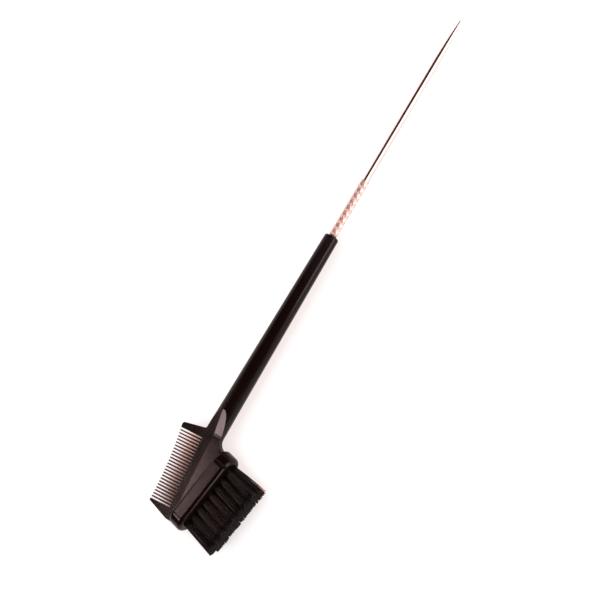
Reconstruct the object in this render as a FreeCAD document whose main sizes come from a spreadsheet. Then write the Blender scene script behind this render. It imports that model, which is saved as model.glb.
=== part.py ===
import FreeCAD, Part
import Sketcher
import os
import re

# Tint brush: one black moulding (handle, comb and tufted block), a steel tail pin, bristle tufts and the
# flat anchors that hold them. Millimetres. X runs from the pin to the head's free end, +Y is the bristle
# side, -Y the comb side, Z is the head's thickness. The origin is where the pin leaves the handle.

doc = FreeCAD.newDocument("TintBrush")
sheet = doc.addObject("Spreadsheet::Sheet", "Sizes")

SIZES = [
    # handle
    ("handleLength", 99.5, "pin end of the handle to its end inside the head"),
    ("handleEndRadius", 3.2, "handle radius at the pin end"),
    ("handleHeadRadius", 4.2, "handle radius where the straight taper stops"),
    ("taperLength", 82, "length of the straight taper"),
    ("neckRadius", 4.5, "handle radius at the neck"),
    ("handleEndRound", 1.1, "rounding of the handle's pin end"),
    # neck and web
    ("scoopStart", 84.4, "where the two scoops leave the round handle"),
    ("scoopEnd", 96.6, "where the scoops reach the web"),
    ("scoopBlend", 4, "radius between scoop and web"),
    ("ridgeAngle", 4.2, "ridge between the two sides of each face to the handle's axis, degrees"),
    ("ridgeShift", -0.6, "the ridge beside the handle's axis where the scoops start"),
    ("bevelAngle", 3.1, "how far the comb's side of each face leans, degrees"),
    ("webThickness", 2.6, "plate between comb and block"),
    ("notchRound", 0.9, "inside corner between neck and comb"),
    ("shoulderRound", 4.0, "inside corner between neck and block"),
    # comb
    ("combAngle", 8.6, "tilt of the comb line, degrees"),
    ("combCentreX", 116.6, "middle of the comb line"),
    ("combCentreY", -0.3, "middle of the comb line"),
    ("toothPitch", 1.375, "tooth to tooth"),
    ("toothCount", 23, "fine teeth between the two end teeth"),
    ("gapRoot", 0.66, "gap between teeth at the roots"),
    ("gapTip", 0.84, "gap between teeth at the tips"),
    ("toothReach", 11.95, "comb line to the tips in mid comb"),
    ("tipHollow", 1.0, "how much further the outer tips reach"),
    ("slotReach", 1.9, "comb line to the knife edge that ends each slot"),
    ("slotRunOut", 1.6, "length of each slot's run-out behind its knife edge"),
    ("rootLean", 1.6, "teeth shorten towards the free end: root line to comb line, degrees"),
    ("bladeBack", 2.0, "comb line back to where the blade joins the web"),
    ("upperToothTip", 2.7, "upper end tooth, width at its tip"),
    ("upperToothRoot", 4.3, "upper end tooth, width at its root"),
    ("lowerToothTip", 0.9, "lower end tooth, width at its tip"),
    ("lowerToothRoot", 4.7, "lower end tooth, width at its root"),
    ("upperToothRound", 1.3, "rounding of the upper end tooth"),
    # block
    ("blockAngle", 8.2, "tilt of the block, degrees"),
    ("blockCentreX", 118.3, "middle of the block's back"),
    ("blockCentreY", 5.7, "middle of the block's back"),
    ("blockLength", 38.4, "overall length of the block"),
    ("blockWidth", 11.8, "face to face across the block"),
    ("blockDepth", 7.5, "back of the block to its mouth"),
    ("rimRound", 1.9, "rounding of the mouth's rim"),
    ("backRound", 1.7, "rounding of the back's edge"),
    # tufts
    ("tuftCount", 8, "tufts in a row"),
    ("tuftMargin", 4.5, "block's end to the middle of the nearest tuft"),
    ("rowGap", 3.0, "between the two rows' centre lines"),
    ("tuftShift", -0.3, "middle of the tufts past the block's middle"),
    ("holeRadius", 1.45, "tuft hole"),
    ("holeDepth", 5.4, "mouth to the bottom of a tuft hole"),
    ("tuftClearance", 0.03, "between a tuft's corners and its hole's wall"),
    ("bristleLength", 17.3, "mouth to the bristles' ends"),
    # anchors
    ("anchorWidth", 3.3, "anchor across its hole, edges in the slit"),
    ("anchorHeight", 1.6, "anchor along its hole"),
    ("anchorThickness", 0.3, "anchor sheet"),
    ("anchorSeat", 0.5, "anchor's lower edge above the hole's bottom"),
    ("anchorClearance", 0.02, "round the anchor in its slit and tuft"),
    # tail pin
    ("pinLength", 104.9, "exposed length of the pin"),
    ("knurlLength", 27.3, "exposed length of the knurl"),
    ("knurlRadius", 1.9, "over the knurl"),
    ("pinRadius", 1.47, "polished part of the pin"),
    ("pinTipRadius", 0.5, "rounding of the point"),
    ("ogiveLength", 21, "length of the pointed end"),
    ("knurlLead", 0.5, "lead from the knurl down to the polished part"),
    ("rootRadius", 1.35, "pin inside the handle; the knurl's shoulder seats on the handle's end"),
    ("pinBuried", 22, "pin inside the handle"),
    ("pinEndChamfer", 0.5, "chamfer on the buried end"),
    ("boreClearance", 0.02, "between pin and bore"),
]

for row, (alias, number, note) in enumerate(SIZES, 1):
    sheet.set(f"A{row}", note)
    sheet.set(f"B{row}", str(number))
    sheet.setAlias(f"B{row}", alias)
doc.recompute()

ALIAS = re.compile(r"\b(" + "|".join(alias for alias, number, note in SIZES) + r")\b")

# lengths worked out from the sheet, as expressions
WEB_HALF = "(webThickness / 2)"
NECK_SIDE = "sqrt(neckRadius ^ 2 - webThickness ^ 2 / 4)"  # where the round neck's side meets the web
GAP_SPAN = "(toothCount * toothPitch / 2)"  # comb centre to the outermost gaps
OUTER_TIP = "(toothReach + tipHollow)"
UPPER_TIP = f"({GAP_SPAN} + gapTip / 2 + upperToothTip)"
LOWER_TIP = f"({GAP_SPAN} + gapTip / 2 + lowerToothTip)"
UPPER_ROOT = f"({GAP_SPAN} + gapRoot / 2 + upperToothRoot)"
LOWER_ROOT = f"({GAP_SPAN} + gapRoot / 2 + lowerToothRoot)"
BLOCK_RADIUS = "(blockWidth / 2)"
TUFT_PITCH = "((blockLength - 2 * tuftMargin) / (tuftCount - 1 / 2))"  # the rows are half a pitch apart
ROW_SPAN = f"((tuftCount - 1) * {TUFT_PITCH})"
PIN_TAPER = "(pinRadius - pinTipRadius)"
QUARTER = "(1 - cos(45))"  # a quarter round's middle, in from either side, in radii
OVERRUN = "2"  # how far a cutting profile runs past what it cuts
BUNDLE_SIDES = 10
TINY = 1e-3


def tied(expression):
    """The expression with every size name pointing into the sheet."""
    return ALIAS.sub(r"Sizes.\1", expression)


def value(expression):
    return float(sheet.evalExpression(tied(expression)))


def on_comb(along, out):
    """Plan position of a point given along the comb line and out towards the tips."""
    x = f"(combCentreX + ({along}) * cos(combAngle) + ({out}) * sin(combAngle))"
    y = f"(combCentreY + ({along}) * sin(combAngle) - ({out}) * cos(combAngle))"
    return x, y


def on_block(along, out):
    """Plan position of a point given along the block and out towards the bristles."""
    x = f"(blockCentreX + ({along}) * cos(blockAngle) + ({out}) * sin(blockAngle))"
    y = f"(blockCentreY - ({along}) * sin(blockAngle) + ({out}) * cos(blockAngle))"
    return x, y


def new_body(label):
    body = doc.addObject("PartDesign::Body", label)
    body.Label = label
    return body


def new_sketch(body, name, role, base=("0", "0", "0"), axis=(0, 0, 1), angle=None):
    """Sketch on one of the body's own origin planes, shifted and turned by sheet sizes."""
    sketch = body.newObject("Sketcher::SketchObject", name)
    plane = next(feature for feature in body.Origin.OriginFeatures if feature.Role == role)
    sketch.AttachmentSupport = [(plane, "")]
    sketch.MapMode = "FlatFace"
    turn = FreeCAD.Rotation(FreeCAD.Vector(*axis), value(angle) if angle else 0)
    sketch.AttachmentOffset = FreeCAD.Placement(FreeCAD.Vector(), turn)
    for letter, expression in zip("xyz", base):
        sketch.setExpression(f"AttachmentOffset.Base.{letter}", tied(expression))
    if angle:
        sketch.setExpression("AttachmentOffset.Rotation.Angle", tied(angle))
    return sketch


def plan_sketch(body, name):
    return new_sketch(body, name, "XY_Plane")


def comb_plan_sketch(body, name):
    """x along the comb line, y back from the tips."""
    return new_sketch(body, name, "XY_Plane", ("combCentreX", "combCentreY", "0"), (0, 0, 1), "combAngle")


def comb_section_sketch(body, name, along="0"):
    """Square to the comb line: x back from the tips, y through the thickness."""
    x, y = on_comb(along, "0")
    return new_sketch(body, name, "YZ_Plane", (y, "0", x), (0, 1, 0), "combAngle")


def block_sketch(body, name, out):
    """Square to the bristles: x along the block, y through the thickness."""
    x, y = on_block("0", out)
    return new_sketch(body, name, "XZ_Plane", (x, "0", f"-{y}"), (0, -1, 0), "blockAngle")


def pin_vertex(sketch, geometry, position, x, y):
    for kind, expression in (("DistanceX", x), ("DistanceY", y)):
        index = sketch.addConstraint(
            Sketcher.Constraint(kind, -1, 1, geometry, position, value(expression))
        )
        sketch.setExpression(f"Constraints[{index}]", tied(expression))


def outline(sketch, corners):
    """Closed profile. A corner is (x, y), or (x, y, middle x, middle y) when an arc leaves it."""
    points = [FreeCAD.Vector(value(corner[0]), value(corner[1]), 0) for corner in corners]
    edges = []
    for start, end, corner in zip(points, points[1:] + points[:1], corners):
        if len(corner) == 2:
            edges.append(sketch.addGeometry(Part.LineSegment(start, end)))
        else:
            middle = FreeCAD.Vector(value(corner[2]), value(corner[3]), 0)
            edges.append(sketch.addGeometry(Part.Arc(start, middle, end)))
    tails = [1 if sketch.getPoint(edge, 1).isEqual(start, TINY) else 2 for edge, start in zip(edges, points)]
    for edge, tail, corner in zip(edges, tails, corners):
        pin_vertex(sketch, edge, tail, corner[0], corner[1])
        if len(corner) == 4:
            middle = FreeCAD.Vector(value(corner[2]), value(corner[3]), 0)
            mark = sketch.addGeometry(Part.Point(middle), True)
            pin_vertex(sketch, mark, 1, corner[2], corner[3])
            sketch.addConstraint(Sketcher.Constraint("PointOnObject", mark, 1, edge))
    for edge, tail, following, head in zip(edges, tails, edges[1:] + edges[:1], tails[1:] + tails[:1]):
        sketch.addConstraint(Sketcher.Constraint("Coincident", edge, 3 - tail, following, head))


def circle(sketch, x, y, radius):
    centre = FreeCAD.Vector(value(x), value(y), 0)
    geometry = sketch.addGeometry(Part.Circle(centre, FreeCAD.Vector(0, 0, 1), value(radius)))
    pin_vertex(sketch, geometry, 3, x, y)
    index = sketch.addConstraint(Sketcher.Constraint("Radius", geometry, value(radius)))
    sketch.setExpression(f"Constraints[{index}]", tied(radius))


def bundle_outline(sketch, x, y, radius):
    """A packed bundle's outline, with a corner at each outer filament."""
    turns = [f"({number} * 360 / {BUNDLE_SIDES})" for number in range(BUNDLE_SIDES)]
    outline(sketch, [(f"{x} + {radius} * cos({turn})", f"{y} + {radius} * sin({turn})") for turn in turns])


def rectangle(sketch, x, y, width, height):
    left, right = f"({x} - {width} / 2)", f"({x} + {width} / 2)"
    low, high = f"({y} - {height} / 2)", f"({y} + {height} / 2)"
    outline(sketch, [(left, low), (right, low), (right, high), (left, high)])


def extrude(body, kind, name, sketch, length, second=None, symmetric=False, flipped=False):
    """Pad or pocket; second is the length on the sketch's other side."""
    feature = body.newObject(f"PartDesign::{kind}", name)
    feature.Profile = sketch
    feature.Reversed = flipped
    if symmetric:
        feature.SideType = "Symmetric"
    feature.setExpression("Length", tied(length))
    if second:
        feature.SideType = "Two sides"
        feature.setExpression("Length2", tied(second))
    return feature


def revolve(body, name, sketch):
    feature = body.newObject("PartDesign::Revolution", name)
    feature.Profile = sketch
    feature.ReferenceAxis = (sketch, ["H_Axis"])
    feature.Angle = 360
    return feature


def mirror_through_head(body, name, originals):
    feature = body.newObject("PartDesign::Mirrored", name)
    plane = next(part for part in body.Origin.OriginFeatures if part.Role == "XY_Plane")
    feature.Originals = originals
    feature.MirrorPlane = (plane, [""])
    body.Tip = feature
    return feature


def repeat(body, name, originals, direction, count, span):
    feature = body.newObject("PartDesign::LinearPattern", name)
    feature.Originals = originals
    feature.Direction = direction
    feature.setExpression("Occurrences", tied(count))
    feature.setExpression("Length", tied(span))
    body.Tip = feature
    return feature


def round_edges(body, name, base, radius, chosen):
    """Fillet on the edges that the chosen test picks."""
    doc.recompute()
    names = [f"Edge{i}" for i, edge in enumerate(base.Shape.Edges, 1) if chosen(edge)]
    feature = body.newObject("PartDesign::Fillet", name)
    feature.Base = (base, names)
    feature.setExpression("Radius", tied(radius))
    return feature


def build_handle(body):
    sketch = plan_sketch(body, "HandleProfile")
    bend = f"(handleEndRound * {QUARTER})"
    outline(sketch, [
        ("0", "0"),
        ("0", "handleEndRadius - handleEndRound", bend, f"handleEndRadius - {bend}"),
        ("handleEndRound", "handleEndRadius"),
        ("taperLength", "handleHeadRadius"),
        ("handleLength", "neckRadius"),
        ("handleLength", "0"),
    ])
    revolve(body, "Handle", sketch)


def build_web(body):
    """Flat plate that joins neck, comb and block, with rounded inside corners."""
    sketch = plan_sketch(body, "WebOutline")
    tooth_x, tooth_y = on_comb(f"-{UPPER_ROOT}", "slotReach")
    tooth_side = f"({OUTER_TIP} - upperToothRound - slotReach)"
    lean = f"(combAngle * 1 deg + atan(({UPPER_ROOT} - {UPPER_TIP}) / {tooth_side}))"
    notch_x = f"({tooth_x} + ({tooth_y} + {NECK_SIDE}) * tan({lean}))"
    reach = f"(notchRound * tan((90 deg - {lean}) / 2))"
    half_way = f"((90 deg + {lean}) / 2)"
    end_x, end_y = on_comb(LOWER_ROOT, "slotReach")
    foot_x, foot_y = on_block("blockLength / 2 - backRound / 2", "blockDepth / 2")
    heel_x, heel_y = on_block(f"blockLength / 2 - {BLOCK_RADIUS} / 2", "blockDepth / 2")
    top_x, top_y = on_block("-blockLength / 2 + backRound / 2", "blockDepth / 2")
    outline(sketch, [
        (f"{notch_x} - {reach}", f"-{NECK_SIDE}",
         f"{notch_x} - {reach} + notchRound * cos({half_way})",
         f"-{NECK_SIDE} - notchRound * (1 - sin({half_way}))"),
        (f"{notch_x} + {reach} * sin({lean})", f"-{NECK_SIDE} - {reach} * cos({lean})"),
        (tooth_x, tooth_y),
        (end_x, end_y),
        (foot_x, foot_y),
        (heel_x, heel_y),
        (top_x, top_y),
        (top_x, f"{NECK_SIDE} + shoulderRound",
         f"{top_x} - shoulderRound * {QUARTER}", f"{NECK_SIDE} + shoulderRound * {QUARTER}"),
        (f"{top_x} - shoulderRound", NECK_SIDE),
        ("scoopStart", "0"),
    ])
    extrude(body, "Pad", "Web", sketch, "webThickness", symmetric=True)


def build_blade(body):
    """Comb before its teeth are cut, with both end teeth and the hollow line of the tips."""
    sketch = comb_plan_sketch(body, "CombOutline")
    bend = f"(upperToothRound * {QUARTER})"
    outline(sketch, [
        (f"-{UPPER_ROOT}", "bladeBack"),
        (f"-{UPPER_ROOT}", "-slotReach"),
        (f"-{UPPER_TIP}", f"-({OUTER_TIP} - upperToothRound)",
         f"-{UPPER_TIP} + {bend}", f"-({OUTER_TIP} - {bend})"),
        (f"-{UPPER_TIP} + upperToothRound", f"-{OUTER_TIP}", "0", "-toothReach"),
        (LOWER_TIP, f"-{OUTER_TIP}"),
        (LOWER_ROOT, "-slotReach"),
        (LOWER_ROOT, "bladeBack"),
    ])
    extrude(body, "Pad", "CombBlade", sketch, "webThickness", symmetric=True)


def build_faces(body):
    """A ridge on each wide face: a level scoop on its block side and a bevelled one on its comb side."""
    ridge_start = ("scoopStart", "0", "-ridgeShift")
    sketch = new_sketch(body, "ScoopProfile", "XZ_Plane", ridge_start, (0, 1, 0), "ridgeAngle")
    run = "(scoopEnd - scoopStart)"
    slope = f"atan((neckRadius - {WEB_HALF}) / {run})"
    tangent = f"(scoopBlend * tan({slope} / 2))"
    sag = f"(scoopBlend * (1 / cos({slope} / 2) - 1))"
    far = f"(blockCentreX + blockLength / 2 - scoopStart + {OVERRUN})"
    outline(sketch, [
        ("0", "neckRadius"),
        (f"{run} - {tangent} * cos({slope})", f"{WEB_HALF} + {tangent} * sin({slope})",
         f"{run} + {sag} * sin({slope} / 2)", f"{WEB_HALF} + {sag} * cos({slope} / 2)"),
        (f"{run} + {tangent}", WEB_HALF),
        (far, WEB_HALF),
        (far, f"neckRadius + {OVERRUN}"),
        ("0", f"neckRadius + {OVERRUN}"),
    ])
    level = extrude(body, "Pocket", "Scoop", sketch, f"2 * neckRadius + {OVERRUN}")
    bevelled = extrude(body, "Pocket", "Bevel", sketch, f"{OUTER_TIP} + 2 * neckRadius")
    bevelled.UseCustomVector = True
    for letter, component in zip("xyz", ("sin(ridgeAngle)", "-cos(ridgeAngle)", "-tan(bevelAngle)")):
        bevelled.setExpression(f"Direction.{letter}", tied(component))
    mirror_through_head(body, "FacesBehind", [level, bevelled])


def build_slots(body):
    """One tapered slot and its run-out, repeated along the roots of the teeth."""
    slot = comb_plan_sketch(body, "SlotOutline")
    widen = f"((gapTip - gapRoot) / ({OUTER_TIP} - slotReach))"
    end = f"({OUTER_TIP} + {OVERRUN})"
    half_end = f"(gapTip / 2 + {OVERRUN} * {widen} / 2)"
    outline(slot, [
        (f"-{GAP_SPAN} - gapRoot / 2", "-slotReach"),
        (f"-{GAP_SPAN} - {half_end}", f"-{end}"),
        (f"-{GAP_SPAN} + {half_end}", f"-{end}"),
        (f"-{GAP_SPAN} + gapRoot / 2", "-slotReach"),
    ])
    fall = f"(2 * {GAP_SPAN} * tan(rootLean))"
    start = FreeCAD.Vector(value(f"-{GAP_SPAN}"), value("-slotReach"), 0)
    aim = FreeCAD.Vector(value(GAP_SPAN), value(f"-slotReach - {fall}"), 0)
    root_line = slot.addGeometry(Part.LineSegment(start, aim), True)
    pin_vertex(slot, root_line, 1, f"-{GAP_SPAN}", "-slotReach")
    pin_vertex(slot, root_line, 2, GAP_SPAN, f"-slotReach - {fall}")
    through = extrude(body, "Pocket", "Slot", slot, f"webThickness + {OVERRUN}", symmetric=True)

    run_out = comb_section_sketch(body, "RunOutProfile", f"-{GAP_SPAN}")
    back = "(slotRunOut - slotReach)"
    outline(run_out, [
        ("-slotReach", "0"),
        (back, WEB_HALF),
        (back, f"{WEB_HALF} + {OVERRUN}"),
        (f"-slotReach - {OVERRUN}", f"{WEB_HALF} + {OVERRUN}"),
        (f"-slotReach - {OVERRUN}", f"-{WEB_HALF} - {OVERRUN}"),
        (back, f"-{WEB_HALF} - {OVERRUN}"),
        (back, f"-{WEB_HALF}"),
    ])
    ramp = extrude(body, "Pocket", "RunOut", run_out, "gapRoot", symmetric=True)
    span = "(toothCount * toothPitch / cos(rootLean))"
    repeat(body, "Slots", [through, ramp], (slot, ["Axis0"]), "toothCount + 1", span)


def make_block():
    """Obround block, its long sides and ends as one prism along the bristles."""
    body = new_body("block")
    sketch = block_sketch(body, "BlockOutline", "0")
    end = f"(blockLength / 2 - {BLOCK_RADIUS})"
    outline(sketch, [
        (f"-{end}", f"-{BLOCK_RADIUS}"),
        (end, f"-{BLOCK_RADIUS}", "blockLength / 2", "0"),
        (end, BLOCK_RADIUS),
        (f"-{end}", BLOCK_RADIUS, "-blockLength / 2", "0"),
    ])
    prism = extrude(body, "Pad", "BlockPrism", sketch, "blockDepth", flipped=True)
    doc.recompute()
    out = sketch.Placement.Rotation.multVec(FreeCAD.Vector(0, 0, -1))

    def at_depth(depth):
        level = sketch.Placement.Base.dot(out) + depth
        return lambda edge: all(abs(v.Point.dot(out) - level) < TINY for v in edge.Vertexes)

    rim = round_edges(body, "RimRound", prism, "rimRound", at_depth(value("blockDepth")))
    round_edges(body, "BackRound", rim, "backRound", at_depth(0))
    return body


def join_block(body):
    joined = body.newObject("PartDesign::Boolean", "BlockJoined")
    joined.Type = "Fuse"
    joined.addObject(make_block())
    body.Tip = joined


def tuft_centre(side, number="0"):
    """Along the block and through its thickness; side is +1 for the near row, -1 for the far one."""
    along = f"(tuftShift - {ROW_SPAN} / 2 + ({number} + {side} / 4) * {TUFT_PITCH})"
    return along, f"(({side}) * rowGap / 2)"


def build_tuft_holes(body):
    """Two staggered rows of blind holes, each with the slit that its anchor bites into."""
    holes = block_sketch(body, "HoleOutline", "blockDepth")
    slits = block_sketch(body, "SlitOutline", "blockDepth - holeDepth + anchorSeat + anchorHeight")
    for side in (1, -1):
        x, y = tuft_centre(side)
        circle(holes, x, y, "holeRadius")
        rectangle(slits, x, y, "(anchorWidth + 2 * anchorClearance)",
                  "(anchorThickness + 2 * anchorClearance)")
    drilled = extrude(body, "Pocket", "TuftHoles", holes, "holeDepth", flipped=True)
    slit = extrude(body, "Pocket", "AnchorSlits", slits, "anchorHeight", flipped=True)
    repeat(body, "TuftRows", [drilled, slit], (holes, ["H_Axis"]), "tuftCount", ROW_SPAN)


def build_bore(body):
    sketch = new_sketch(body, "BoreOutline", "YZ_Plane")
    circle(sketch, "0", "0", "rootRadius + boreClearance")
    extrude(body, "Pocket", "PinBore", sketch, "pinBuried + boreClearance", flipped=True)


def make_moulded_body():
    body = new_body("moulded_body")
    build_handle(body)
    build_web(body)
    build_blade(body)
    build_faces(body)
    build_slots(body)
    join_block(body)
    build_tuft_holes(body)
    build_bore(body)
    return body


def make_tail_pin():
    """Turned steel rod: root in the handle, knurl, polished shank, point in two tapers."""
    body = new_body("tail_pin")
    sketch = plan_sketch(body, "PinProfile")
    tip_bend = f"(pinTipRadius * {QUARTER})"
    ogive_radius = f"((ogiveLength ^ 2 + {PIN_TAPER} ^ 2) / (2 * {PIN_TAPER}))"
    half_way = "(ogiveLength / 2)"
    bulge = f"({ogive_radius} - sqrt({ogive_radius} ^ 2 - {half_way} ^ 2))"
    outline(sketch, [
        ("-pinLength", "0", f"-pinLength + {tip_bend}", "pinTipRadius * sin(45)"),
        ("-pinLength + pinTipRadius", "pinTipRadius"),
        (f"-pinLength + pinTipRadius + {half_way}", f"pinRadius - {bulge}"),
        ("-pinLength + pinTipRadius + ogiveLength", "pinRadius"),
        ("-knurlLength", "pinRadius"),
        ("-knurlLength + knurlLead", "knurlRadius"),
        ("0", "knurlRadius"),
        ("0", "rootRadius"),
        ("pinBuried - pinEndChamfer", "rootRadius"),
        ("pinBuried", "rootRadius - pinEndChamfer"),
        ("pinBuried", "0"),
    ])
    revolve(body, "Pin", sketch)
    return body


def make_tuft(label, side, number):
    """One bundle of bristles, folded over its anchor at the bottom of the hole."""
    body = new_body(label)
    x, y = tuft_centre(side, number)
    mouth = block_sketch(body, f"{label}_outline", "blockDepth")
    bundle_outline(mouth, x, y, "(holeRadius - tuftClearance)")
    extrude(body, "Pad", f"{label}_bundle", mouth, "holeDepth - tuftClearance", second="bristleLength")
    fold = block_sketch(body, f"{label}_fold", "blockDepth - holeDepth + anchorSeat + anchorHeight")
    rectangle(fold, x, y, "(anchorWidth + 2 * anchorClearance)",
              "(anchorThickness + 2 * anchorClearance)")
    extrude(body, "Pocket", f"{label}_gap", fold, "anchorHeight + anchorClearance", flipped=True)
    return body


def make_anchor(label, side, number):
    body = new_body(label)
    x, y = tuft_centre(side, number)
    sheet_edge = block_sketch(body, f"{label}_outline", "blockDepth - holeDepth + anchorSeat")
    rectangle(sheet_edge, x, y, "anchorWidth", "anchorThickness")
    extrude(body, "Pad", f"{label}_plate", sheet_edge, "anchorHeight - anchorClearance", flipped=True)
    return body


def check(parts):
    """Every object sound, every pad adds, every pocket removes, every part one valid solid."""
    for item in doc.Objects:
        if "Invalid" in item.State or "Error" in item.State:
            raise RuntimeError(f"{item.Label} failed: {item.State}")
        base = getattr(item, "BaseFeature", None)
        if base is None or not hasattr(item, "AddSubShape"):
            continue
        change = item.Shape.Volume - base.Shape.Volume
        if item.isDerivedFrom("PartDesign::Pocket") and change > -TINY:
            raise RuntimeError(f"{item.Label} removes nothing")
        if item.isDerivedFrom("PartDesign::Pad") and change < TINY:
            raise RuntimeError(f"{item.Label} adds nothing")
    for part in parts:
        if part.Shape.isNull() or not part.Shape.isValid() or len(part.Shape.Solids) != 1:
            raise RuntimeError(f"{part.Label} is not one valid solid")


parts = [make_moulded_body(), make_tail_pin()]
rows = (("near", 1), ("far", -1))
for name, side in rows:
    for number in range(round(value("tuftCount"))):
        parts.append(make_tuft(f"tuft_{name}_{number + 1}", side, number))
        parts.append(make_anchor(f"anchor_{name}_{number + 1}", side, number))
doc.recompute()
check(parts)

os.makedirs("parts", exist_ok=True)
for part in parts:
    part.Shape.exportStep(f"parts/{part.Label}.step")
    print(part.Label, round(part.Shape.Volume, 1))
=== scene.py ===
import math
import random

import bmesh
import bpy
from mathutils import Matrix, Vector


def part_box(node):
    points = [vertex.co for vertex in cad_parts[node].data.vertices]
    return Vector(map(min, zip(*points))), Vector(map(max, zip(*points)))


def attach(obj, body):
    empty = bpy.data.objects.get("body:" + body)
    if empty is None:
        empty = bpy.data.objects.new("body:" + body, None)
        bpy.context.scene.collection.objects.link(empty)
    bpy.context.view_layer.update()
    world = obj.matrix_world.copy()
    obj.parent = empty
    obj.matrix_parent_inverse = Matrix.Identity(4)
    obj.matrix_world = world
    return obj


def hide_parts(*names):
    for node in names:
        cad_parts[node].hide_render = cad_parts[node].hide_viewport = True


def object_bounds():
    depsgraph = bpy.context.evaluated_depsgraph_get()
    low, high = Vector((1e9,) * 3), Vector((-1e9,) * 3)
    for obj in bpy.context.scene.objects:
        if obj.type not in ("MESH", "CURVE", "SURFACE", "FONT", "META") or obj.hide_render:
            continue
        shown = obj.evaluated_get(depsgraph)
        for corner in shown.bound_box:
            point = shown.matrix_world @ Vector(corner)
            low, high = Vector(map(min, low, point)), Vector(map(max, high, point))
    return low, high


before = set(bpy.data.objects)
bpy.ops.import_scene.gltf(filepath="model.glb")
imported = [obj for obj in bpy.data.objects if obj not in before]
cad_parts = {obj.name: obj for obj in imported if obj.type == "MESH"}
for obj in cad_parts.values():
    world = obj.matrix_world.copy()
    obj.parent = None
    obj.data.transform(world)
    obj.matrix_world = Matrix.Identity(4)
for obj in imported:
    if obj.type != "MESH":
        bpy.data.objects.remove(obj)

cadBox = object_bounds()
mm = 0.001
weld = 0.001 * mm      # points closer than this are one

# a colour mix's inputs and output by number, as the mixes of other kinds share their names
colourA, colourB, mixedColour = 6, 7, 2
lowNoise, highNoise = 0.3, 0.7      # most of a noise lies between these
white = (1, 1, 1, 1)


def linear(hexColour):
    levels = [int(hexColour[i:i + 2], 16) / 255 for i in (1, 3, 5)]
    # the sRGB curve, undone
    lit = [c / 12.92 if c <= 0.04045 else ((c + 0.055) / 1.055) ** 2.4 for c in levels]
    return (*lit, 1.0)


def joinInputs(material, node, links):
    for name, socket in links:
        material.node_tree.links.new(socket, node.inputs[name])


def addNode(material, kind, settings, links=()):
    node = material.node_tree.nodes.new(kind)
    for name, value in settings.items():      # the node's own setting, or else an input's value
        if isinstance(name, str) and hasattr(node, name):
            setattr(node, name, value)
        else:
            node.inputs[name].default_value = value
    joinInputs(material, node, links)
    return node


def startMaterial(name, settings):
    material = bpy.data.materials.new(name)
    material.use_nodes = True
    shader = material.node_tree.nodes["Principled BSDF"]
    for socket, value in settings.items():
        shader.inputs[socket].default_value = value
    place = addNode(material, "ShaderNodeTexCoord", {})
    return material, shader, place.outputs["Object"]


def finishPiece(shape, name, material, nodes):
    bmesh.ops.remove_doubles(shape, verts=shape.verts, dist=weld / 2)
    bmesh.ops.recalc_face_normals(shape, faces=shape.faces)
    mesh = bpy.data.meshes.new(name)
    for face in shape.faces:
        face.smooth = len(face.verts) < 5      # flat ends stay flat
    shape.to_mesh(mesh)
    shape.free()
    piece = bpy.data.objects.new(name, mesh)
    bpy.context.scene.collection.objects.link(piece)
    mesh.materials.append(material)
    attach(piece, "root")
    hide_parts(*nodes)
    return piece


# black ABS, injection moulded and left as it came from a polished tool: a dark, soft gloss with
# faint flow variation and the shallow waviness that a thick moulding gets as it shrinks

absSettings = {
    "dark": "#100807", "warm": "#190e0c",
    "specular": 0.18,
    "gloss": (0.14, 0.19),      # roughness, least and most
    "flow": 9.0,                # mm, slow change of tone along the melt's flow
    "waviness": 3.4,            # mm, sink waviness
    "waveDepth": 0.02,          # mm
    "grain": 0.3,               # mm, tool polish, drawn coarser than the real one so that it shows
    "grainDepth": 0.004,        # mm
    "paintedThroughLight": "#5e1a0c",          # stands for the reddish light that passes through the thin teeth
    "comb": (116.6, -0.3),      # mm, the comb line's middle
    "combTilt": 8.6,            # degrees
    "combHalf": 15.4,           # mm, half the row of thin teeth
    "teeth": (-6.0, -2.0),      # mm across the comb line, from that colour in full to none of it
}


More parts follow.
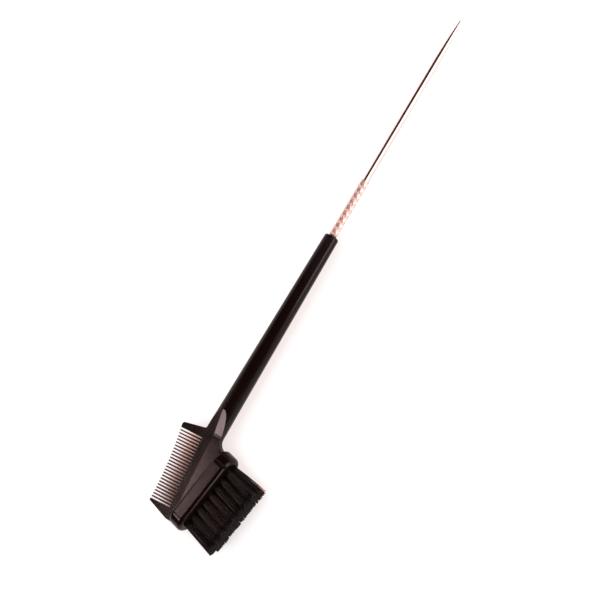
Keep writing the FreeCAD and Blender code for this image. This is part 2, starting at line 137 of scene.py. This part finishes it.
def mouldedAbs():
    s = absSettings
    material, shader, place = startMaterial(
        "blackAbsMoulded", {"IOR": 1.53, "Specular IOR Level": s["specular"], "Metallic": 0.0})
    flow = addNode(material, "ShaderNodeTexNoise",
                   {"Scale": 1 / (s["flow"] * mm), "Detail": 3.0, "Roughness": 0.5},
                   [("Vector", place)])
    tone = addNode(material, "ShaderNodeMix",
                   {"data_type": "RGBA", colourA: linear(s["dark"]), colourB: linear(s["warm"])},
                   [("Factor", flow.outputs["Fac"])])
    gloss = addNode(material, "ShaderNodeMapRange",
                    {"From Min": lowNoise, "From Max": highNoise,
                     "To Min": s["gloss"][0], "To Max": s["gloss"][1]},
                    [("Value", flow.outputs["Fac"])])
    wave = addNode(material, "ShaderNodeTexNoise",
                   {"Scale": 1 / (s["waviness"] * mm), "Detail": 1.0, "Roughness": 0.4},
                   [("Vector", place)])
    grain = addNode(material, "ShaderNodeTexNoise",
                    {"Scale": 1 / (s["grain"] * mm), "Detail": 2.0, "Roughness": 0.6},
                    [("Vector", place)])
    shallow = addNode(material, "ShaderNodeBump",
                      {"Strength": 0.35, "Distance": s["waveDepth"] * mm},
                      [("Height", wave.outputs["Fac"])])
    bump = addNode(material, "ShaderNodeBump",
                   {"Strength": 0.15, "Distance": s["grainDepth"] * mm},
                   [("Height", grain.outputs["Fac"]), ("Normal", shallow.outputs["Normal"])])

    # painted light on the thin teeth, as if light came through them, found in the comb's own frame:
    # X along the comb line, Y across it
    combPlace = addNode(material, "ShaderNodeMapping",
                        {"vector_type": "TEXTURE",
                         "Location": (s["comb"][0] * mm, s["comb"][1] * mm, 0.0),
                         "Rotation": (0.0, 0.0, math.radians(s["combTilt"]))}, [("Vector", place)])
    split = addNode(material, "ShaderNodeSeparateXYZ", {},
                    [("Vector", combPlace.outputs["Vector"])])
    across = addNode(material, "ShaderNodeMapRange",
                     {"From Min": s["teeth"][0] * mm, "From Max": s["teeth"][1] * mm,
                      "To Min": 1.0, "To Max": 0.0}, [("Value", split.outputs["Y"])])
    fromMiddle = addNode(material, "ShaderNodeMath", {"operation": "ABSOLUTE"},
                         [(0, split.outputs["X"])])
    inRow = addNode(material, "ShaderNodeMath", {"operation": "LESS_THAN", 1: s["combHalf"] * mm},
                    [(0, fromMiddle.outputs["Value"])])
    thinness = addNode(material, "ShaderNodeMath", {"operation": "MULTIPLY"},
                       [(0, across.outputs["Result"]), (1, inRow.outputs["Value"])])
    glowing = addNode(material, "ShaderNodeMix", {"data_type": "RGBA", colourB: linear(s["paintedThroughLight"])},
                      [("Factor", thinness.outputs["Value"]), (colourA, tone.outputs[mixedColour])])
    joinInputs(material, shader, [("Base Color", glowing.outputs[mixedColour]),
                                  ("Roughness", gloss.outputs["Result"]),
                                  ("Normal", bump.outputs["Normal"])])
    return material


# plated steel wire, drawn and ground to a point: a bright mirror with fine drawing lines along it;
# the knurl is pressed into it by rollers, which leaves it satin, with painted shade in small random
# warm patches

steelSettings = {
    "line": 0.12,           # mm across the drawing lines, drawn coarser than the real ones
    "lineLength": 14.0,     # mm
    "polished": {
        "bright": "#fbf2ef", "dullAndShade": "#efdfda", "gloss": (0.05, 0.09),
        "lineDepth": 0.002,     # mm
        "patch": 5.0,           # mm, change of polish along the wire
    },
    "pressed": {
        # its dull colour is painted shade for the diamonds, laid in random patches
        "bright": "#fff0ea", "dullAndShade": "#e4b4a7", "gloss": (0.45, 0.55),
        "lineDepth": 0.01,
        "patch": 0.5,           # mm, size of the patches of painted shade
    },
}


def platedSteel(name, finish):
    s = steelSettings
    material, shader, place = startMaterial(name, {"Metallic": 1.0})
    stretched = addNode(material, "ShaderNodeMapping",
                        {"Scale": (s["line"] / s["lineLength"], 1.0, 1.0)}, [("Vector", place)])
    lines = addNode(material, "ShaderNodeTexNoise",
                    {"Scale": 1 / (s["line"] * mm), "Detail": 2.0, "Roughness": 0.5},
                    [("Vector", stretched.outputs["Vector"])])
    patches = addNode(material, "ShaderNodeTexNoise",
                      {"Scale": 1 / (finish["patch"] * mm), "Detail": 2.0, "Roughness": 0.5},
                      [("Vector", place)])
    tone = addNode(material, "ShaderNodeMix",
                   {"data_type": "RGBA",
                    colourA: linear(finish["bright"]), colourB: linear(finish["dullAndShade"])},
                   [("Factor", patches.outputs["Fac"])])
    polish = addNode(material, "ShaderNodeMapRange",
                     {"From Min": lowNoise, "From Max": highNoise,
                      "To Min": finish["gloss"][0], "To Max": finish["gloss"][1]},
                     [("Value", lines.outputs["Fac"])])
    bump = addNode(material, "ShaderNodeBump",
                   {"Strength": 0.12, "Distance": finish["lineDepth"] * mm},
                   [("Height", lines.outputs["Fac"])])
    joinInputs(material, shader, [("Base Color", tone.outputs[mixedColour]),
                                  ("Roughness", polish.outputs["Result"]),
                                  ("Normal", bump.outputs["Normal"])])
    return material


# black nylon monofilament, extruded: each filament a slightly different black, satin, with a
# narrow highlight along it; its colour is painted lighter near the mouth as a sheen, and towards a
# loose filament's end as a glint

nylonSettings = {
    # the brown serves the filaments' own tones and the painted sheen near the mouth
    "black": "#0b0504", "brownAndSheen": "#4a3f3b",
    "paleTone": "#dcbfb2",      # painted glint towards a loose filament's end
    "glintTone": (1.4, 2.6),     # filament tones where that starts and where it is full
    "specular": 0.3,
    "gloss": (0.26, 0.38),
    "speck": 0.5,           # mm, tone changes along a filament
}


def nylonBristle():
    s = nylonSettings
    material, shader, place = startMaterial(
        "blackNylonFilament", {"IOR": 1.5, "Specular IOR Level": s["specular"], "Metallic": 0.0})
    strand = addNode(material, "ShaderNodeAttribute", {"attribute_name": "strandTone"})
    speck = addNode(material, "ShaderNodeTexNoise",
                    {"Scale": 1 / (s["speck"] * mm), "Detail": 1.0, "Roughness": 0.5},
                    [("Vector", place)])
    blend = addNode(material, "ShaderNodeMath", {"operation": "MULTIPLY"},
                    [(0, strand.outputs["Fac"]), (1, speck.outputs["Fac"])])
    tone = addNode(material, "ShaderNodeMix",
                   {"data_type": "RGBA", colourA: linear(s["black"]), colourB: linear(s["brownAndSheen"])},
                   [("Factor", blend.outputs["Value"])])
    # painted glint: loose filaments turn pale towards their ends
    looseGlint = addNode(material, "ShaderNodeMapRange",
                   {"From Min": s["glintTone"][0], "From Max": s["glintTone"][1]},
                   [("Value", strand.outputs["Fac"])])
    glinted = addNode(material, "ShaderNodeMix", {"data_type": "RGBA", colourB: linear(s["paleTone"])},
                    [("Factor", looseGlint.outputs["Result"]), (colourA, tone.outputs[mixedColour])])
    gloss = addNode(material, "ShaderNodeMapRange",
                    {"To Min": s["gloss"][0], "To Max": s["gloss"][1]},
                    [("Value", strand.outputs["Fac"])])
    joinInputs(material, shader, [("Base Color", glinted.outputs[mixedColour]),
                                  ("Roughness", gloss.outputs["Result"])])
    return material


# steel strip, cold rolled and cropped: dull grey with an uneven rolled face

anchorSettings = {
    "bright": "#b9b6b2", "dark": "#86827e",
    "gloss": (0.3, 0.5),
    "mottle": 0.08,      # mm
}


def rolledSteel():
    s = anchorSettings
    material, shader, place = startMaterial("steelStripRolled", {"Metallic": 1.0})
    mottle = addNode(material, "ShaderNodeTexNoise",
                     {"Scale": 1 / (s["mottle"] * mm), "Detail": 2.0, "Roughness": 0.5},
                     [("Vector", place)])
    tone = addNode(material, "ShaderNodeMix",
                   {"data_type": "RGBA", colourA: linear(s["bright"]), colourB: linear(s["dark"])},
                   [("Factor", mottle.outputs["Fac"])])
    gloss = addNode(material, "ShaderNodeMapRange",
                    {"To Min": s["gloss"][0], "To Max": s["gloss"][1]},
                    [("Value", mottle.outputs["Fac"])])
    joinInputs(material, shader, [("Base Color", tone.outputs[mixedColour]),
                                  ("Roughness", gloss.outputs["Result"])])
    return material


# the moulding and the anchors keep their own shapes

def dressNode(name, material):
    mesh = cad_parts[name].data
    mesh.materials.clear()
    mesh.materials.append(material)


absMaterial = mouldedAbs()
steelMaterial = platedSteel("steelWirePlated", steelSettings["polished"])
knurlMaterial = platedSteel("steelWireKnurled", steelSettings["pressed"])
nylonMaterial = nylonBristle()
anchorMaterial = rolledSteel()
dressNode("moulded_body", absMaterial)
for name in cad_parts:
    if name.startswith("anchor_"):
        dressNode(name, anchorMaterial)
print("moulding and anchors dressed")


# tail pin: point, polished shank, diamond knurl and the root inside the handle

pinSettings = {      # lengths and radii in mm
    "sides": 48,
    "tipRadius": 0.5, "tipSteps": 6,
    "ogive": 21.0, "ogiveSteps": 14,
    "shankRadius": 1.47,
    "knurlLength": 27.3, "knurlLead": 0.4,
    "rootRadius": 1.35, "rootChamfer": 0.5,
    "diamond": 2.86,            # along one diamond
    "diamondsRound": 6,
    "grooveRadius": 1.77, "grooveWidth": 0.24,
    "diamondRise": 0.04,
    "crown": 0.09,              # a diamond's middle above its edge
    "near": 0.01,               # points this close to a plane lie in it
}


def spinProfile(shape, points, sides):
    verts = [shape.verts.new(Vector(point) * mm) for point in points]
    edges = [shape.edges.new(pair) for pair in zip(verts, verts[1:])]
    bmesh.ops.spin(shape, geom=verts + edges, cent=(0, 0, 0), axis=(1, 0, 0), angle=math.tau,
                   steps=sides, use_merge=True)
    bmesh.ops.remove_doubles(shape, verts=shape.verts, dist=weld)


def pushToRadius(vert, radius):
    out = Vector((0, vert.co.y, vert.co.z))
    if out.length > pinSettings["near"] * mm:
        out *= radius * mm / out.length
        vert.co = Vector((vert.co.x, out.y, out.z))


def openEdges(shape, x):
    near = pinSettings["near"] * mm
    return [edge for edge in shape.edges
            if edge.is_boundary and all(abs(vert.co.x - x * mm) < near for vert in edge.verts)]


def pointProfile(tip, shankEnd):
    s = pinSettings
    taper = s["shankRadius"] - s["tipRadius"]
    bow = (s["ogive"] ** 2 + taper ** 2) / (2 * taper)      # radius of the long curve of the point
    profile = []
    for step in range(s["tipSteps"] + 1):
        turn = math.radians(90 * step / s["tipSteps"])
        profile.append((tip + s["tipRadius"] * (1 - math.cos(turn)), 0,
                        s["tipRadius"] * math.sin(turn)))
    for step in range(1, s["ogiveSteps"] + 1):
        along = s["ogive"] * step / s["ogiveSteps"]
        fall = bow - math.sqrt(bow ** 2 - (s["ogive"] - along) ** 2)
        profile.append((tip + s["tipRadius"] + along, 0, s["shankRadius"] - fall))
    return profile + [(shankEnd, 0, s["shankRadius"])]


def knurlMesh(start):
    # a coarse tube, each cell divided from its middle and its old edges taken out, leaves diamonds
    s = pinSettings
    knurl = bmesh.new()
    rows = math.ceil(-start / s["diamond"])
    column = [(start + s["diamond"] * row, 0, s["grooveRadius"]) for row in range(rows + 1)]
    spinProfile(knurl, column, s["diamondsRound"])
    cellEdges = list(knurl.edges)
    bmesh.ops.poke(knurl, faces=knurl.faces, offset=0.0)
    oldEdges = [edge for edge in cellEdges if edge.is_valid and not edge.is_boundary]
    bmesh.ops.dissolve_edges(knurl, edges=oldEdges, use_verts=False)
    for vert in knurl.verts:
        pushToRadius(vert, s["grooveRadius"])
    raised = [face for face in knurl.faces if len(face.verts) == 4]
    bmesh.ops.inset_individual(knurl, faces=raised, thickness=s["grooveWidth"] * mm / 2,
                               depth=s["diamondRise"] * mm, use_even_offset=True)
    tops = [face for face in raised if face.is_valid]
    bmesh.ops.poke(knurl, faces=tops, offset=s["crown"] * mm)
    bmesh.ops.bisect_plane(knurl, geom=knurl.verts[:] + knurl.edges[:] + knurl.faces[:],
                           dist=weld / 10, plane_co=(0, 0, 0), plane_no=(1, 0, 0),
                           clear_outer=True)
    mesh = bpy.data.meshes.new("knurl")
    knurl.to_mesh(mesh)
    knurl.free()
    return mesh


def makePin():
    s = pinSettings
    low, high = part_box("tail_pin")
    root = high.x / mm
    shankEnd = -s["knurlLength"]
    knurlStart = shankEnd + s["knurlLead"]
    shape = bmesh.new()
    spinProfile(shape, pointProfile(low.x / mm, shankEnd), s["sides"])
    smoothCount = len(shape.faces)
    knurl = knurlMesh(knurlStart)
    shape.from_mesh(knurl)
    bpy.data.meshes.remove(knurl)
    shape.faces.ensure_lookup_table()
    for face in shape.faces[smoothCount:]:
        face.material_index = 1
    spinProfile(shape, [(0.0, 0, s["rootRadius"]), (root - s["rootChamfer"], 0, s["rootRadius"]),
                        (root, 0, s["rootRadius"] - s["rootChamfer"]), (root, 0, 0)], s["sides"])
    bmesh.ops.bridge_loops(shape, edges=openEdges(shape, shankEnd) + openEdges(shape, knurlStart))
    manySided = [face for face in shape.faces if len(face.verts) > 4]
    bmesh.ops.triangulate(shape, faces=manySided)
    rim = [edge for edge in shape.edges if edge.is_boundary]
    bmesh.ops.holes_fill(shape, edges=rim, sides=0)
    piece = finishPiece(shape, "tailPinDressed", steelMaterial, ["tail_pin"])
    piece.data.materials.append(knurlMaterial)
    return piece


pin = makePin()
print("tail pin made", len(pin.data.polygons), "faces")


# tufts: filaments packed tight at the mouth and opening a little towards their ends

tuftSettings = {
    "lean": 8.2,            # degrees, bristles to the head's cross direction
    "depth": 1.6,           # mm, how far into its hole a filament is drawn
    "free": 17.3,           # mm, mouth to ends
    "filament": 0.14,       # mm, filament radius, thicker than the real one so that it shows
    "mouthRadius": 1.33,    # mm
    "endAlong": 2.2,        # mm, half the bundle's spread at its end, along the row
    "endAcross": 1.75,      # mm, and across the row
    "opening": 0.8,         # below 1, a bundle opens more near the mouth
    "drift": (0.12, 0.1),   # mm along and across the row, how far a bundle's end wanders
    "count": 110,
    "sides": 5,
    "segments": 5,
    "clumps": 9,            # groups of filaments that cling together
    "cling": 0.2,           # share of a filament's place that its group decides
    "twist": 0.15,          # radians, scatter round the bundle
    "scatter": 0.06,        # mm, at the ends
    "trim": 0.25,           # mm, from one bundle's length to the next
    "ragged": 0.22,         # mm, uneven ends
    "tip": 0.85,            # share of its thickness that a worn end keeps
    "slant": 0.11,          # mm, ends cut a little askew
    "bend": 0.11,           # mm, a filament's own bow
    "strays": 1,            # filaments that stand out at the sides
    "strayOut": (1.25, 1.1),        # how many times as far, along and across the row
    "loose": 5,             # loose filaments that hang off the first tuft, on the neck's side, painted lighter towards their ends as a glint
    "looseOut": (1.1, 1.35),        # their ends along the row, in bundle spreads
    "looseAcross": (-0.6, 0.8),     # mm
    "groupTone": 0.6,       # share of a filament's tone that its group decides
    "rootSheen": 1.3,        # painted sheen: tone at the mouth, and how far it falls towards the ends
    "sheenFall": 1.1,
    "glintRise": 3.0,            # what the painted glint adds to the tone at a loose filament's end
    "seed": 11,
}


def makeFilament():
    s = tuftSettings
    shape = bmesh.new()
    bmesh.ops.create_circle(shape, cap_ends=False, radius=s["filament"] * mm, segments=s["sides"])
    edges = list(shape.edges)
    for step in range(s["segments"]):
        grown = bmesh.ops.extrude_edge_only(shape, edges=edges)["geom"]
        verts = [item for item in grown if isinstance(item, bmesh.types.BMVert)]
        edges = [item for item in grown if isinstance(item, bmesh.types.BMEdge)]
        bmesh.ops.translate(shape, verts=verts, vec=(0, 0, 1.0))      # one unit for each segment
    rims = [edge for edge in shape.edges if edge.is_boundary]
    bmesh.ops.holes_fill(shape, edges=rims, sides=0)
    bmesh.ops.recalc_face_normals(shape, faces=shape.faces)
    mesh = bpy.data.meshes.new("filament")
    shape.to_mesh(mesh)
    shape.free()
    return mesh


filamentMesh = makeFilament()


def makeTuft(node, number):
    s = tuftSettings
    dice = random.Random(s["seed"] + number)
    lean = math.radians(s["lean"])
    out = Vector((math.sin(lean), math.cos(lean), 0))
    side = Vector((math.cos(lean), -math.sin(lean), 0))
    up = Vector((0, 0, 1))
    low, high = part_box(node)
    size = high - low
    whole = (size.y - size.z * math.sin(lean)) / math.cos(lean)      # the solid bundle's length
    mouth = (low + high) / 2 + out * (whole / 2 - s["free"] * mm)
    shape = bmesh.new()
    tone = shape.verts.layers.float.new("strandTone")
    golden = math.pi * (3 - math.sqrt(5))
    drift = Vector([dice.uniform(-reach, reach) for reach in s["drift"]])
    cut = dice.uniform(-s["trim"], 0.0)
    clumps = [(dice.uniform(-1, 1), dice.uniform(-1, 1), dice.random())
              for clump in range(s["clumps"])]
    for k in range(s["count"]):
        spread = math.sqrt((k + 0.5) / s["count"])
        turn = k * golden + dice.uniform(-s["twist"], s["twist"])
        unitX, unitZ = spread * math.cos(turn), spread * math.sin(turn)
        fromX, fromZ = s["mouthRadius"] * unitX, s["mouthRadius"] * unitZ
        clump = min(clumps, key=lambda c: (unitX - c[0]) ** 2 + (unitZ - c[1]) ** 2)
        endX = (1 - s["cling"]) * unitX + s["cling"] * clump[0]
        endZ = (1 - s["cling"]) * unitZ + s["cling"] * clump[1]
        toX = s["endAlong"] * endX + drift.x + dice.gauss(0, s["scatter"])
        toZ = s["endAcross"] * endZ + drift.y + dice.gauss(0, s["scatter"])
        if k >= s["count"] - s["strays"]:
            toX *= s["strayOut"][0]
            toZ *= s["strayOut"][1]
        looseGlint = number == 0 and k % (s["count"] // s["loose"]) == 1
        if looseGlint:
            fromX, toX = -s["mouthRadius"], -s["endAlong"] * dice.uniform(*s["looseOut"])
            fromZ, toZ = 0.0, dice.uniform(*s["looseAcross"])
        bowX, bowZ = dice.gauss(0, s["bend"]), dice.gauss(0, s["bend"])
        length = s["free"] + cut + dice.uniform(-s["ragged"], 0.0)
        shade = s["groupTone"] * clump[2] + (1 - s["groupTone"]) * dice.random()
        first = len(shape.verts)
        shape.from_mesh(filamentMesh)
        shape.verts.ensure_lookup_table()
        for vert in shape.verts[first:]:
            along = -s["depth"] + (length + s["depth"]) * vert.co.z / s["segments"]
            free = max(along, 0.0) / s["free"]
            swing = math.sin(math.pi * free)
            ease = free ** s["opening"]
            width = 1.0
            if vert.co.z > s["segments"] - 0.5:      # the end
                width = s["tip"]
                along += s["slant"] * vert.co.y / (s["filament"] * mm)
            x = fromX + (toX - fromX) * ease + bowX * swing + width * vert.co.x / mm
            z = fromZ + (toZ - fromZ) * ease + bowZ * swing + width * vert.co.y / mm
            vert.co = mouth + (out * along + side * x + up * z) * mm
            # painted sheen: lighter near the mouth, darker towards the ends
            vert[tone] = shade * (s["rootSheen"] - s["sheenFall"] * free)
            # painted glint on the loose filaments, growing towards their ends
            if looseGlint:
                vert[tone] += s["glintRise"] * free ** 2
    return finishPiece(shape, "filaments_" + node, nylonMaterial, [node])


for number, node in enumerate(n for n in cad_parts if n.startswith("tuft_")):
    makeTuft(node, number)
bpy.data.meshes.remove(filamentMesh)
print("tufts made")


# floor: a pale sheet that looks white to the camera and in mirrors, with a painted shade drawn into
# its glow where the object stands close above

floorSettings = {
    "radius": 4.0, "sides": 96,
    "drop": 0.0002,                 # m, below the object's lowest point
    "paper": "#f4ebe8", "paperLight": "#f7f5f4",
    "fibres": 60.0,                 # per metre, drawn coarser than real fibres
    "shade": 0.25,                  # share of the sheet's own, lit colour
    "glow": 0.96,
    "reach": 0.03,                  # m, how far round itself a spot feels the object above it
    "deep": (0.16, 0.36),           # open share of a spot's surroundings, hollow to covered
    "wide": (0.36, 0.66),           # and covered to bare
    "hollow": "#2c1f1b", "covered": "#b98475",
    "coveredEnd": "#6d4d45",        # covered, under the comb's far end
    "lift": 0.7,                    # how far the shade is lifted away from the comb
    "combRow": (103.0, 130.0),      # mm along X, from the one colour under the comb to the other
    "combSide": (-1.0, 2.0),        # mm along Y, where the full shade ends under the handle
    "combStart": (100.5, 98.0),     # mm along X, where it ends under the end tooth
}


def makeFloor():
    s = floorSettings
    shape = bmesh.new()
    bmesh.ops.create_circle(shape, cap_ends=True, radius=s["radius"], segments=s["sides"])
    bmesh.ops.translate(shape, verts=shape.verts, vec=(0, 0, cadBox[0][2] - s["drop"]))
    mesh = bpy.data.meshes.new("floor")
    shape.to_mesh(mesh)
    shape.free()
    floor = bpy.data.objects.new("floor", mesh)
    bpy.context.scene.collection.objects.link(floor)
    material = bpy.data.materials.new("paperSheetMatt")
    material.use_nodes = True
    material.node_tree.nodes.clear()
    place = addNode(material, "ShaderNodeTexCoord", {}).outputs["Object"]
    path = addNode(material, "ShaderNodeLightPath", {}).outputs
    fibre = addNode(material, "ShaderNodeTexNoise", {"Scale": s["fibres"], "Detail": 2.0},
                    [("Vector", place)])
    tone = addNode(material, "ShaderNodeMix",
                   {"data_type": "RGBA",
                    colourA: linear(s["paper"]), colourB: linear(s["paperLight"])},
                   [("Factor", fibre.outputs["Fac"])])
    matt = addNode(material, "ShaderNodeBsdfDiffuse", {}, [("Color", tone.outputs[mixedColour])])
    paleTone = addNode(material, "ShaderNodeMix",
                   {"data_type": "RGBA", colourA: linear(s["paper"]), colourB: white},
                   [("Factor", path["Is Camera Ray"])])

    # the painted shade's colour, from how much of a spot's surroundings is open, darker towards the
    # comb's far end
    sky = addNode(material, "ShaderNodeAmbientOcclusion", {"samples": 8, "Distance": s["reach"]})
    deep = addNode(material, "ShaderNodeMapRange",
                   {"From Min": s["deep"][0], "From Max": s["deep"][1]},
                   [("Value", sky.outputs["AO"])])
    wide = addNode(material, "ShaderNodeMapRange",
                   {"From Min": s["wide"][0], "From Max": s["wide"][1]},
                   [("Value", sky.outputs["AO"])])
    split = addNode(material, "ShaderNodeSeparateXYZ", {}, [("Vector", place)])
    alongComb = addNode(material, "ShaderNodeMapRange",
                        {"From Min": s["combRow"][0] * mm, "From Max": s["combRow"][1] * mm},
                        [("Value", split.outputs["X"])])
    covered = addNode(material, "ShaderNodeMix",
                      {"data_type": "RGBA",
                       colourA: linear(s["covered"]), colourB: linear(s["coveredEnd"])},
                      [("Factor", alongComb.outputs["Result"])])
    shadow = addNode(material, "ShaderNodeMix", {"data_type": "RGBA", colourA: linear(s["hollow"])},
                     [("Factor", deep.outputs["Result"]), (colourB, covered.outputs[mixedColour])])

    # the painted shade, full under the comb, and lifted elsewhere for the camera
    beside = addNode(material, "ShaderNodeMapRange",
                     {"From Min": s["combSide"][0] * mm, "From Max": s["combSide"][1] * mm},
                     [("Value", split.outputs["Y"])])
    before = addNode(material, "ShaderNodeMapRange",
                     {"From Min": s["combStart"][0] * mm, "From Max": s["combStart"][1] * mm},
                     [("Value", split.outputs["X"])])
    outside = addNode(material, "ShaderNodeMath", {"operation": "MAXIMUM"},
                      [(0, beside.outputs["Result"]), (1, before.outputs["Result"])])
    lifted = addNode(material, "ShaderNodeMapRange", {"To Max": s["lift"]},
                     [("Value", path["Is Camera Ray"])])
    direct = addNode(material, "ShaderNodeMath", {"operation": "MULTIPLY"},
                     [(0, outside.outputs["Value"]), (1, lifted.outputs["Result"])])
    clear = addNode(material, "ShaderNodeMath", {"operation": "MAXIMUM"},
                    [(0, wide.outputs["Result"]), (1, direct.outputs["Value"])])
    lit = addNode(material, "ShaderNodeMix", {"data_type": "RGBA"},
                  [("Factor", clear.outputs["Value"]), (colourA, shadow.outputs[mixedColour]),
                   (colourB, paleTone.outputs[mixedColour])])

    # glowing for rays that show the background, plain paper for light that bounces
    glow = addNode(material, "ShaderNodeEmission", {"Strength": s["glow"]},
                   [("Color", lit.outputs[mixedColour])])
    dark = addNode(material, "ShaderNodeEmission", {"Color": (0, 0, 0, 1), "Strength": 0.0})
    part = addNode(material, "ShaderNodeMixShader", {"Fac": s["shade"]},
                   [(1, dark.outputs[0]), (2, matt.outputs[0])])
    both = addNode(material, "ShaderNodeAddShader", {},
                   [(0, part.outputs[0]), (1, glow.outputs[0])])
    mirrored = addNode(material, "ShaderNodeMath", {"operation": "MAXIMUM"},
                       [(0, path["Is Glossy Ray"]), (1, path["Is Transmission Ray"])])
    seen = addNode(material, "ShaderNodeMath", {"operation": "MAXIMUM"},
                   [(0, path["Is Camera Ray"]), (1, mirrored.outputs[0])])
    pick = addNode(material, "ShaderNodeMixShader", {},
                   [("Fac", seen.outputs[0]), (1, matt.outputs[0]), (2, both.outputs[0])])
    addNode(material, "ShaderNodeOutputMaterial", {}, [("Surface", pick.outputs[0])])
    mesh.materials.append(material)


# world: white behind everything, and a dark warm room around it for the light that falls on it

worldSettings = {
    "room": "#4b302c",
    "sheetTop": (0.14, 0.08),      # rise above the horizon, from all room to all sheet
}


def makeWorld():
    world = bpy.data.worlds.new("studio")
    world.use_nodes = True
    bpy.context.scene.world = world
    world.node_tree.nodes.clear()
    room = addNode(world, "ShaderNodeBackground",
                   {"Color": linear(worldSettings["room"]), "Strength": 1.0})
    backdrop = addNode(world, "ShaderNodeBackground", {"Color": white, "Strength": 1.0})
    path = addNode(world, "ShaderNodeLightPath", {}).outputs
    place = addNode(world, "ShaderNodeTexCoord", {})
    split = addNode(world, "ShaderNodeSeparateXYZ", {}, [("Vector", place.outputs["Generated"])])
    sheet = addNode(world, "ShaderNodeMapRange",
                    {"From Min": worldSettings["sheetTop"][0],
                     "From Max": worldSettings["sheetTop"][1]}, [("Value", split.outputs["Z"])])
    mirrored = addNode(world, "ShaderNodeMath", {"operation": "MAXIMUM"},
                       [(0, path["Is Glossy Ray"]), (1, path["Is Transmission Ray"])])
    low = addNode(world, "ShaderNodeMath", {"operation": "MULTIPLY"},
                  [(0, mirrored.outputs[0]), (1, sheet.outputs["Result"])])
    seen = addNode(world, "ShaderNodeMath", {"operation": "MAXIMUM"},
                   [(0, path["Is Camera Ray"]), (1, low.outputs[0])])
    pick = addNode(world, "ShaderNodeMixShader", {},
                   [("Fac", seen.outputs[0]), (1, room.outputs[0]), (2, backdrop.outputs[0])])
    addNode(world, "ShaderNodeOutputWorld", {}, [("Surface", pick.outputs[0])])


# lamps: flat rectangles, each with its span in X, its two long edges seen along X as (Y, Z), how
# bright it looks, and its colour; all in metres

lampSettings = {
    "stripOverHead": ((0.227, 0.34), (-0.345, 0.6), (-0.316, 0.6), 37.0, "#ffd8d3"),
    "stripOverBlock": ((0.272, 0.34), (-0.309, 0.6), (-0.27, 0.6), 1.7, "#ffdedb"),
    "windowPastHead": ((0.46, 0.68), (-0.40, 0.6), (-0.27, 0.6), 11.5, "#ffdce0"),
    "windowMiddle": ((0.51, 0.66), (-0.38, 0.61), (-0.29, 0.61), 10.0, "#ffdce0"),
    "stripBackEdge": ((0.19, 0.32), (-0.49, 0.6), (-0.7, 0.6), 6.0, "#ffe6e4"),
    "panelPinLeft": ((-0.9, -0.07), (-0.87, 0.43), (-1.1, 0.03), 1.3, "#ffeeec"),
    "panelPinRight": ((-0.9, -0.07), (0.28, 0.62), (1.0, 0.04), 1.6, "#fffafa"),
    "panelOverKnurl": ((-0.125, -0.058), (-1.0, 0.6), (0.3, 0.62), 1.7, "#ffe8e4"),
    "panelHandleLeft": ((-0.065, 0.24), (-0.72, 0.5), (-1.05, 0.03), 1.0, "#ffe6e2"),
    "stripLowHandle": ((-0.45, 0.03), (0.85, 0.01), (0.85, 0.42), 4.2, "#ffeaea"),
    "stripLowRim": ((0.3, 0.5), (0.85, 0.15), (0.85, 0.6), 7.9, "#ffeaea"),
}


def makeLight(name, spanX, start, end, radiance, colour):
    startSide, endSide = Vector((0, *start)), Vector((0, *end))
    width, height = spanX[1] - spanX[0], (endSide - startSide).length
    light = bpy.data.lights.new(name, "AREA")
    light.shape = "RECTANGLE"
    light.size, light.size_y = width, height
    light.energy = radiance * math.pi * width * height      # so that it looks that bright
    light.color = linear(colour)[:3]
    lamp = bpy.data.objects.new(name, light)
    lamp.visible_camera = False
    bpy.context.scene.collection.objects.link(lamp)
    middle = (startSide + endSide) / 2 + Vector(((spanX[0] + spanX[1]) / 2, 0, 0))
    across = Vector((1, 0, 0))
    along = (endSide - startSide).normalized()
    facing = across.cross(along)
    if facing.dot(middle) < 0:
        along, facing = -along, -facing      # the lamp shines along its own -Z, towards the object
    axes = Matrix((across, along, facing)).transposed()
    lamp.matrix_world = Matrix.Translation(middle) @ axes.to_4x4()


cameraSettings = {
    "lens": 66, "sensor": 36,       # mm
    "clip": 0.01,                   # m
    "place": (0.025914, 0.211476, 0.410743),      # m
    "tilt": 27.0,                   # degrees from straight down, towards the bristles
    "pitch": 0.5,                   # degrees, towards the tail
    "roll": 30.776,                 # degrees, picture's right side off the head's cross direction
}


def makeCamera():
    s = cameraSettings
    camera = bpy.data.cameras.new("camera")
    camera.lens = s["lens"]
    camera.sensor_width = s["sensor"]
    camera.clip_start = s["clip"]
    view = bpy.data.objects.new("camera", camera)
    bpy.context.scene.collection.objects.link(view)
    tilt, pitch, roll = (math.radians(s[angle]) for angle in ("tilt", "pitch", "roll"))
    tilted = Vector((0.0, math.sin(tilt), math.cos(tilt)))
    back = tilted * math.cos(pitch) - Vector((math.sin(pitch), 0.0, 0.0))
    acrossHead = Vector((0.0, math.cos(tilt), -math.sin(tilt)))
    alongHead = tilted * math.sin(pitch) + Vector((math.cos(pitch), 0.0, 0.0))
    right = acrossHead * math.cos(roll) - alongHead * math.sin(roll)
    axes = Matrix((right, back.cross(right), back)).transposed()
    view.matrix_world = Matrix.Translation(s["place"]) @ axes.to_4x4()
    bpy.context.scene.camera = view


makeFloor()
makeWorld()
for name, settings in lampSettings.items():
    makeLight(name, *settings)
makeCamera()
bpy.context.scene.view_settings.view_transform = "Standard"
print("stage set")
